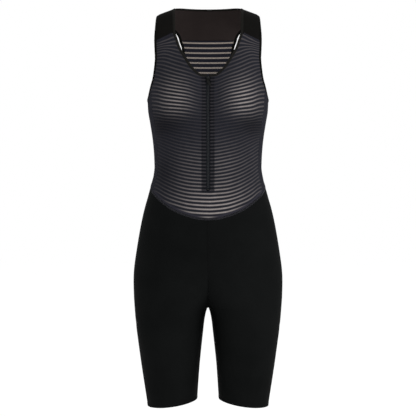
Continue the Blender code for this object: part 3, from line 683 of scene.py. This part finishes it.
def frontAttributes(points):
    across, height = np.abs(points[:, 0]), points[:, 2]
    band = waistBand["front"] - waistBand["centreLower"] * np.exp(-(across / waistBand["centreReach"]) ** 2)
    overTape = (np.clip(zipFastener["tapeReach"] - across, 0, 1)
                * np.clip((height - zipFastener["end"] + tapeShade["below"]) / tapeShade["soft"], 0, 1))
    # the sheer rows open where stretched, with painted light over the bust and belly, and painted shade
    # under the bust
    wide = np.clip(leastOpen + spotsAt(points, stretchedAndLitSpots, 3), 0, 1)
    return {"stripe": stripeNumber(points),
            "open": wide * (1 - tapeShade["closed"] * overTape) + tapeShade["least"] * overTape,
            "plain": 1 - np.clip((aboveWaist(points) - band) / waistBand["soft"], 0, 1),
            "backed": tapeShade["dark"] * overTape, "paintedShade": spotsAt(points, paintedShadeSpots)}


def backAttributes(points):
    rows = (backRows["top"] - points[:, 2]) / backRows["pitch"] + 0.5
    rows = rows + backRows["bow"] * (points[:, 0] / 100) ** 2
    folded = xyz(np.abs(points[:, 0]), 0, points[:, 2])
    return {"stripe": rows, "open": backRows["open"] + spotsAt(folded, backSpots),
            "plain": 1 - np.clip((aboveWaist(points) - waistBand["back"]) / waistBand["soft"], 0, 1)}


def hemRelief(points):
    # the turned hem stands a little proud, and its stitch line draws in
    above = points[:, 2] - hemLevel(np.abs(points[:, 0])) - legs["hemDepth"]
    proud = hemFold["proud"] / (1 + np.exp(np.minimum(above * 2.5, 60)))
    return proud - hemFold["dip"] * np.exp(-((above - hemFold["dipAbove"]) / hemFold["dipWide"]) ** 2)


def waistRelief(points):
    # the cloth draws in beside its seam
    return -seamDraw["deep"] * np.exp(-(aboveWaist(points) / seamDraw["wide"]) ** 2)


front, side, back, short = frontGrid(), sideGrid(), backGrid(), shortGrid()
yokeBack, strap = yokeGrids()
frontPanel = shellOf("frontPanel", [front, mirrored(front)], walls["mesh"], finishes["frontMesh"],
                     frontAttributes, waistRelief)
backPanel = shellOf("backPanel", [back, mirrored(back)], walls["mesh"], finishes["backOutside"],
                    backAttributes, waistRelief, finishes["backMesh"])
sideStripLeft = shellOf("sideStripLeft", [side], walls["mesh"], finishes["sideMesh"])
sideStripRight = shellOf("sideStripRight", [mirrored(side)], walls["mesh"], finishes["sideMesh"])
shoulderYoke = shellOf("shoulderYoke", [yokeBack, strap, mirrored(yokeBack), mirrored(strap)],
                       walls["knit"], finishes["yokeKnit"], inside=finishes["yokeInside"])
shortsLeft = shellOf("shortsLeft", [short], walls["knit"], finishes["shortsKnit"], relief=hemRelief)
shortsRight = shellOf("shortsRight", [mirrored(short)], walls["knit"], finishes["shortsKnit"],
                      relief=hemRelief)
print("cloth made")


def clothTree():
    points, faces = [], []
    for verts, quads in clothFaces:
        base = len(points)
        points += [tuple(v) for v in verts]
        faces += [tuple(v + base for v in quad) for quad in quads]
    return BVHTree.FromPolygons(points, faces)


onCloth = clothTree()


def neighbours(values, loop):
    before, after = np.roll(values, 1, 0), np.roll(values, -1, 0)
    if not loop:
        before[0], after[-1] = values[0], values[-1]
    return before, after


def softened(values, loop, times=2):
    for _ in range(times):
        before, after = neighbours(values, loop)
        values = (before + 2 * values + after) / 4
    return values


def evenPath(points, step, loop=False):
    # even places along a run of points, in mm
    keep = [0]
    for i in range(1, len(points)):
        if np.linalg.norm(points[i] - points[keep[-1]]) > 0.8:
            keep.append(i)
    points = points[keep]
    if loop:
        points = np.concatenate([points, points[:1]])
    along = np.concatenate([[0], np.cumsum(np.linalg.norm(np.diff(points, axis=0), axis=1))])
    places = np.linspace(0, along[-1], max(round(along[-1] / step), 2) + 1)
    path = np.stack([np.interp(places, along, points[:, k]) for k in range(3)], axis=1)
    return path[:-1] if loop else path


def dressed(path, loop=False):
    # a path moved onto the finished cloth, with the cloth's normals and its own direction
    found = [onCloth.find_nearest(Vector(p * mm)) for p in path]
    normals = softened(np.array([hit[1][:] for hit in found]), loop, 3)
    normals /= np.linalg.norm(normals, axis=1)[:, None]
    places = np.array([hit[0][:] for hit in found]) / mm
    path = path + normals * np.sum((places - path) * normals, axis=1)[:, None]
    path = softened(path, loop, 1)
    before, after = neighbours(path, loop)
    run = after - before
    run /= np.linalg.norm(run, axis=1)[:, None]
    return path, normals, run


def lineOf(points, step=3, loop=False):
    return dressed(evenPath(points, step, loop), loop)


def tubeOf(name, outlines, loop=False, *materials):
    # one closed shape through rings of points in mm
    shape = bmesh.new()
    verts = [[shape.verts.new(Vector(p) * mm) for p in ring] for ring in outlines]
    for a, b in zip(verts, verts[1:] + (verts[:1] if loop else [])):
        for k in range(len(a)):
            m = (k + 1) % len(a)
            shape.faces.new([a[k], a[m], b[m], b[k]])
    if not loop:
        shape.faces.new(verts[0][::-1])
        shape.faces.new(verts[-1])
    bmesh.ops.recalc_face_normals(shape, faces=shape.faces)
    return pieceOf(name, shape, *materials)


def sweep(name, line, profile, towards, finish, loop=False, pucker=0.0):
    # a strip of one outline along a dressed path; the outline is (beside, out) in mm
    path, normals, run = line
    beside = np.cross(run, normals) * towards
    beside /= np.linalg.norm(beside, axis=1)[:, None]
    i, far = np.arange(len(path)), max(u for u, v in profile)
    wave = pucker * (np.sin(i * 2.1) + 0.7 * np.sin(i * 1.3 + 1))      # elastic draws in unevenly
    edges = [path + beside * (u + wave * max(u, 0) / far)[:, None] + normals * v for u, v in profile]
    return tubeOf(name, np.stack(edges, axis=1), loop, finish)


def threadShape(length, wide, high):
    # one stitch: a short arch of thread whose ends go into the cloth
    outlines = []
    for t, size in ((-0.5, 0.45), (-0.3, 1.0), (0.3, 1.0), (0.5, 0.45)):
        rise = high * (1 - (2 * t) ** 2) - stitches["sunk"]
        outlines.append([(t * length, size * wide / 2 * math.cos(a), rise + size * wide / 2 * math.sin(a))
                         for a in np.arange(5) * 2 * math.pi / 5])
    return tubeOf("thread", outlines)


jitter = np.random.default_rng(7)       # stitches aren't all at one angle


def along(line, pitch, beside=0.0, out=0.0, turn=0.0, loop=False, start=0.0):
    # places for a repeated shape along a dressed path: its X runs along it, its Z stands out
    path, normals, run = line
    if loop:
        path, normals, run = [np.concatenate([v, v[:1]]) for v in (path, normals, run)]
    walk = np.concatenate([[0], np.cumsum(np.linalg.norm(np.diff(path, axis=0), axis=1))])
    places = []
    for s in np.arange(pitch * (0.5 + start), walk[-1], pitch):
        p, n, r = [Vector([np.interp(s, walk, v[:, k]) for k in range(3)]) for v in (path, normals, run)]
        n.normalize()
        side = r.cross(n).normalized()
        r = n.cross(side)
        angle = math.radians(turn + jitter.uniform(-2.5, 2.5))
        x = r * math.cos(angle) + side * math.sin(angle)
        y = n.cross(x)
        turned = Matrix((x, y, n)).transposed().to_euler()
        places.append(((p + side * beside + n * out) * mm, turned[:]))
    return places


def repeated(name, shape, places, finish):
    # copies of one small shape at many places, made by geometry nodes and kept as a plain mesh
    cloud = bpy.data.meshes.new(name + "Places")
    cloud.from_pydata([tuple(p) for p, _ in places], [], [])
    turns = cloud.attributes.new("turnBy", "FLOAT_VECTOR", "POINT")
    turns.data.foreach_set("vector", np.array([t for _, t in places], np.float32).ravel())
    piece = inScene(name, cloud)
    tree = bpy.data.node_groups.new(name, "GeometryNodeTree")
    sockets = {label: tree.interface.new_socket(label, in_out="INPUT",
                                                socket_type="NodeSocket" + kind).identifier
               for label, kind in (("Geometry", "Geometry"), ("Shape", "Object"), ("Finish", "Material"))}
    tree.interface.new_socket("Geometry", in_out="OUTPUT", socket_type="NodeSocketGeometry")
    given = addNode(tree, "NodeGroupInput")
    info = addNode(tree, "GeometryNodeObjectInfo", {"Object": given.outputs["Shape"]})
    turn = addNode(tree, "GeometryNodeInputNamedAttribute", {"Name": "turnBy"}, data_type="FLOAT_VECTOR")
    put = addNode(tree, "GeometryNodeInstanceOnPoints",
                  {"Points": given.outputs["Geometry"], "Instance": info.outputs["Geometry"],
                   "Rotation": turn.outputs["Attribute"]})
    plain = addNode(tree, "GeometryNodeRealizeInstances", {"Geometry": put.outputs[0]})
    paint = addNode(tree, "GeometryNodeSetMaterial",
                    {"Geometry": plain.outputs[0], "Material": given.outputs["Finish"]})
    addNode(tree, "NodeGroupOutput", {0: paint.outputs[0]})
    nodes = piece.modifiers.new("repeat", "NODES")
    nodes.node_group = tree
    nodes[sockets["Shape"]] = shape
    nodes[sockets["Finish"]] = finish
    made = bpy.data.meshes.new_from_object(piece.evaluated_get(bpy.context.evaluated_depsgraph_get()))
    piece.modifiers.remove(nodes)
    piece.data = made
    made.shade_smooth()
    bpy.data.objects.remove(shape)
    bpy.data.meshes.remove(cloud)
    bpy.data.node_groups.remove(tree)
    return piece


def flip(points):
    return points * np.array([-1, 1, 1])


# flatlock seams: a low ridge, two rows of thread and the cover thread zigzagging between them
flatlock = {"half": 2.4, "rise": 0.34, "row": 1.7, "pitch": 2.6, "out": 0.3, "start": 0.2,
            "coverPitch": 1.3, "coverTurn": 62, "coverOut": 0.38}
hemStitch = {"beside": 0.9, "pitch": 2.8, "out": 0.12, "start": 0.1}
half, rise = flatlock["half"], flatlock["rise"]
ridge = [(-half, -0.25), (-half + 0.5, rise * 0.7), (-0.6, rise), (0.6, rise), (half - 0.5, rise * 0.7),
         (half, -0.25)]
seamSlots = {"grey": "black_knit", "black": "black_knit", "navy": "plain_mesh"}
sewn = {"black": [], "navy": [], "grey": []}
covers = {"black": [], "navy": [], "grey": []}

# the seams' lines on the form, those beside the middle on the wearer's left
turns, hemParts = np.linspace(0, np.pi, 160), np.linspace(0, 1, 120)
frontSide, backSide = sideTurn(columns["stripFront"], 0), sideTurn(columns["stripBack"], 0)
strapAcross, strapHeight = strapSeam(np.linspace(0.03, 0.97, 20))
middle, crotch = np.array([0, 1, 1]), legs["crotch"]
waistLine = trunk(turns, waistHeight(turns))
centreFront = halfShort(0.0, np.linspace(waistHeight(0.0) - 1, crotch + 1, 100)) * middle
centreBack = halfShort(1.0, np.linspace(waistHeight(np.pi) - 1, crotch + 1, 130)) * middle
innerLeg = halfShort(0.0, np.linspace(crotch - 4, legs["hem"] + 16, 100))
frontLine = trunk(frontSide, np.linspace(waistHeight(frontSide), armhole["front"]["height"][0] - 3, 90))
backLine = trunk(backSide, np.linspace(waistHeight(backSide), armhole["back"]["height"][0] - 3, 90))
strapLine = face(strapAcross, strapHeight, -1)
yokeLine = face(np.linspace(2 - yokeFoot(), yokeFoot() - 2, 60), yokeSeam, 1)
hemLine = halfShort(hemParts, hemHeight(hemParts) + legs["hemDepth"])
seams = [("waist", "grey", np.concatenate([waistLine, flip(waistLine)[::-1]]), 3, True),
         ("centreFront", "black", centreFront, 3, False), ("centreBack", "black", centreBack, 3, False)]
for name, shade, points, step in (("innerLeg", "black", innerLeg, 3), ("frontSide", "navy", frontLine, 3),
                                  ("backSide", "navy", backLine, 3), ("strap", "navy", strapLine, 2)):
    seams += [(name + "Left", shade, points, step, False),
              (name + "Right", shade, flip(points), step, False)]
seams.append(("yokeBack", "navy", yokeLine, 3, False))
seamPieces = []
for name, shade, points, step, loop in seams:
    line = lineOf(points, step, loop)
    finish = finishes["sideMesh" if shade == "navy" else "shortsKnit"]
    seamPieces.append((sweep("seam_" + name, line, ridge, 1, finish, loop), seamSlots[shade]))
    for hand in (-1, 1):
        sewn[shade] += along(line, flatlock["pitch"], hand * flatlock["row"], flatlock["out"], 0, loop,
                             flatlock["start"] * hand)
    covers[shade] += along(line, flatlock["coverPitch"], 0, flatlock["coverOut"], flatlock["coverTurn"],
                           loop)
for points in (hemLine, flip(hemLine)):
    line = lineOf(points, 3, True)
    for beside in (-hemStitch["beside"], hemStitch["beside"]):
        sewn["black"] += along(line, hemStitch["pitch"], beside, hemStitch["out"], 0, True,
                               hemStitch["start"])
print("seams made")

# folded elastic bindings round the neck and armholes; elastic is cut shorter than the edge it binds
binding = {"width": 4.6, "proud": 0.5, "step": 2.4, "pucker": 0.1, "cutShare": 0.93, "stitchBeside": 1.3,
           "stitchPitch": 2.6}
foldFar = 0.3 + binding["width"]
bindingOutline = [(-0.7, 0.15), (-0.2, 0.5), (1.4, 0.52), (foldFar - 1.2, 0.5), (foldFar - 0.4, 0.25),
                  (foldFar, -0.3), (foldFar, -0.9), (foldFar - 0.4, -1.45), (foldFar - 1.2, -1.7),
                  (1.4, -1.72), (-0.2, -1.72), (-0.7, -1.6)]
sideRows, neckRows = frontEdges()[2:]
neckStart = face(0.4, neckline["height"][0], -1)[None, :]
neckHalf = np.concatenate([neckStart, front[-neckRows - 4:, 0], strap[:, 0],
                           yokeBack[-1, yokeRows["strap"]:]])
neckEdge = evenPath(np.concatenate([neckHalf, flip(neckHalf)[::-1][1:]]), binding["step"])
neckEdge = softened(neckEdge, False, 4)
armEdge = np.concatenate([front[sideRows:, -1], strap[:, -1], yokeBack[::-1, 0],
                          back[panelRows["side"]:, 0][::-1], side[-1][::-1]])
armEdge = evenPath(armEdge, binding["step"], True)
bindingPieces = []
for name, node, edge, towards, loop, finish in (
        ("neckBinding", "neck_binding", neckEdge, -1, False, "neckKnit"),
        ("armholeBindingLeft", "armhole_binding_l", armEdge, 1, True, "bindingKnit"),
        ("armholeBindingRight", "armhole_binding_r", flip(armEdge)[::-1], 1, True, "bindingKnit")):
    line = dressed(edge, loop)
    piece = sweep(name, line, bindingOutline, towards, finishes[finish], loop, binding["pucker"])
    bindingPieces.append((piece, node, len(edge) * binding["step"] * mm * binding["cutShare"]))
    sewn["black"] += along(line, binding["stitchPitch"], towards * binding["stitchBeside"],
                           binding["proud"] + 0.08, 0, loop)
print("bindings made")

# the zip: tapes behind the slashed mesh, a nylon coil and the hard pieces of its slider
zipTape = {"under": 1.8, "from": 0.2, "edgeStitch": 12.6, "slashStitch": 5.4, "stitchPitch": 2.6,
           "stitchOut": 0.06, "endPitch": 2.2, "endOut": 0.08}
coil = {"pitch": 1.3, "middle": -0.78, "cordBeside": 2.35, "cordHalf": 0.5, "cordMiddle": -0.6,
        "teethAt": [-2.3, -1.9, 0.1, 0.5, 0.75], "teethWide": [0.2, 0.36, 0.36, 0.5, 0.25],
        "teethHigh": [0.5, 0.9, 0.85, 0.7, 0.35]}
zipEnd, zipTop = zipFastener["end"], neckline["height"][0]


def tapeRelief(points):
    return np.full(len(points), -zipTape["under"])


tapeGrid = face(np.linspace(zipTape["from"], zipFastener["tapeReach"], 9)[None, :],
                np.linspace(zipEnd, zipTop, 92)[:, None], -1)
tapes = []
for name, node, grid in (("zipTapeLeft", "zip_tape_l", tapeGrid),
                         ("zipTapeRight", "zip_tape_r", mirrored(tapeGrid))):
    tapes.append((shellOf(name, [grid], walls["tape"], finishes["zipTape"], relief=tapeRelief), node))

chainLine = lineOf(face(0.0, np.linspace(zipEnd + 4, zipFastener["sliderFoot"] - 0.4, 160), -1))
sixth, eighth = np.arange(6) * math.pi / 3, np.arange(8) * math.pi / 4
toothRings = [[(x, wide * math.cos(a), high * math.sin(a)) for a in sixth]
              for x, wide, high in zip(coil["teethAt"], coil["teethWide"], coil["teethHigh"])]
teeth = []
for turn, start in ((90, 0.0), (-90, 0.5)):
    teeth += along(chainLine, coil["pitch"], 0, coil["middle"], turn, False, start)
zipCoil = repeated("zipCoil", tubeOf("tooth", toothRings), teeth, finishes["coil"])
cordOutline = [(coil["cordHalf"] * math.cos(a), coil["cordHalf"] * math.sin(a) + coil["cordMiddle"])
               for a in eighth]
cords = [sweep("zipCord" + name, chainLine, [(u + x, v) for u, v in cordOutline], 1, finishes["zipTape"])
         for name, x in (("Left", -coil["cordBeside"]), ("Right", coil["cordBeside"]))]

for across in (zipTape["edgeStitch"], zipTape["slashStitch"]):
    for hand in (1, -1):
        line = lineOf(face(hand * across, np.linspace(zipEnd + 1, zipTop - 2, 120), -1))
        sewn["black"] += along(line, zipTape["stitchPitch"], 0, zipTape["stitchOut"])
endAcross = np.linspace(-zipTape["edgeStitch"], zipTape["edgeStitch"], 14)
sewn["navy"] += along(lineOf(face(endAcross, zipEnd - 1.6, -1), 2), zipTape["endPitch"], 0,
                      zipTape["endOut"])


def roundedNode(name, node, edge, finish):
    # a hard piece of the frame with its edges rounded off
    shape = bmesh.new()
    shape.from_mesh(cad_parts[node].data)
    bmesh.ops.remove_doubles(shape, verts=shape.verts, dist=0.002 * mm)
    bmesh.ops.dissolve_limit(shape, angle_limit=math.radians(2), verts=shape.verts, edges=shape.edges)
    piece = pieceOf(name, shape, finish)
    rounding = piece.modifiers.new("rounded", "BEVEL")
    rounding.width = edge * mm
    rounding.segments = 2
    rounding.limit_method = "ANGLE"
    rounding.angle_limit = math.radians(28)
    rounding.harden_normals = True
    return piece


slider = roundedNode("zipSlider", "zip_slider", 0.3, finishes["slider"])
pullTab = roundedNode("zipPullTab", "zip_pull", 0.35, finishes["tab"])
bottomStop = roundedNode("zipBottomStop", "zip_stop", 0.35, finishes["slider"])
print("zip made")

stitches = {"length": 2.1, "wide": 0.34, "high": 0.16, "sunk": 0.12, "coverLength": 3.9,
            "coverHigh": 0.096}
rows = []
for shade, finish in (("black", "thread"), ("navy", "threadNavy"), ("grey", "threadGrey")):
    for name, places, size in (("stitches_", sewn, ("length", "wide", "high")),
                               ("coverThreads_", covers, ("coverLength", "wide", "coverHigh"))):
        thread = threadShape(*[stitches[part] for part in size])
        rows.append((repeated(name + shade, thread, places[shade], finishes[finish]), seamSlots[shade]))
print("stitches made")

# what each piece stands for, rides on and was cut from; cut sizes in metres, a little under the worn
# ones because the cloth is stretched on
cut = [(frontPanel, "front_mesh", "striped_mesh", (0.322, 0.445), 0.0865, ["shoulder_yoke"]),
       (backPanel, "back_mesh", "striped_mesh", (0.276, 0.355), 0.0593, ["shoulder_yoke"]),
       (sideStripLeft, "side_strip_l", "plain_mesh", (0.106, 0.224), 0.0162, ["front_mesh"]),
       (sideStripRight, "side_strip_r", "plain_mesh", (0.106, 0.224), 0.0162, ["front_mesh"]),
       (shoulderYoke, "shoulder_yoke", "yoke_knit", (0.28, 0.232), 0.0222, ["back_mesh"]),
       (shortsLeft, "shorts_l", "black_knit", (0.6, 0.58), 0.206, ["front_mesh"]),
       (shortsRight, "shorts_r", "black_knit", (0.6, 0.58), 0.206, ["front_mesh"])]
hardPieces = [(zipCoil, "zip_chain"), (slider, "zip_slider"), (bottomStop, "zip_stop"),
              (pullTab, "zip_pull")]
replaced = [row[:3] for row in cut] + [(piece, node, "zip_plastic") for piece, node in hardPieces]
replaced += [(piece, node, "binding") for piece, node, length in bindingPieces]
replaced += [(piece, node, "zip_tape") for piece, node in tapes]
for piece, node, slot in replaced:
    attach(piece, "pull_tab" if piece is pullTab else "garment")
    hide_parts(node)
for piece, slot in seamPieces + rows + [(cord, "zip_tape") for cord in cords]:
    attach(piece, "garment")

studio = {"distance": 3.6, "eyeHeight": -0.429, "mmPerPixel": 2.2, "pixels": 416, "sensor": 36,
          "floor": -0.95, "floorHalf": 12, "aim": (0, 0, -0.4), "lampSize": 1.6}
lamps = {"keyRight": {"place": (2.6, -1.7, 0.3), "power": 50},
         "fillLeft": {"place": (-2.4, -2.2, 0.0), "power": 4}}

camera = bpy.data.cameras.new("camera")
camera.sensor_width = studio["sensor"]
camera.lens = studio["sensor"] * studio["distance"] / (studio["mmPerPixel"] * mm * studio["pixels"])
cameraObject = inScene("camera", camera)
cameraObject.location = (0, -studio["distance"], studio["eyeHeight"])
cameraObject.rotation_euler = (math.pi / 2, 0, 0)
bpy.context.scene.camera = cameraObject

floorMesh = bpy.data.meshes.new("floor")
far, level = studio["floorHalf"], studio["floor"]
floorMesh.from_pydata([(-far, -far, level), (far, -far, level), (far, far, level), (-far, far, level)],
                      [], [(0, 1, 2, 3)])
floor = inScene("floor", floorMesh)
paint, shader = startMaterial("paintedStudioFloor", 0.9, 0.0)[::2]       # flat white paint: no shine
shader.inputs["Base Color"].default_value = hexColour("#ffffff")
floorMesh.materials.append(paint)

world = bpy.data.worlds.new("studio")
world.use_nodes = True
world.node_tree.nodes["Background"].inputs["Color"].default_value = (1, 1, 1, 1)
world.node_tree.nodes["Background"].inputs["Strength"].default_value = 1.0
bpy.context.scene.world = world

for name, lampValues in lamps.items():
    lamp = bpy.data.lights.new(name, "AREA")
    lamp.size = studio["lampSize"]
    lamp.energy = lampValues["power"]
    made = inScene(name, lamp)
    made.location = lampValues["place"]
    towardsAim = Vector(studio["aim"]) - Vector(lampValues["place"])
    made.rotation_euler = towardsAim.to_track_quat("-Z", "Y").to_euler()
bpy.context.scene.view_settings.view_transform = "Standard"
print("studio made")
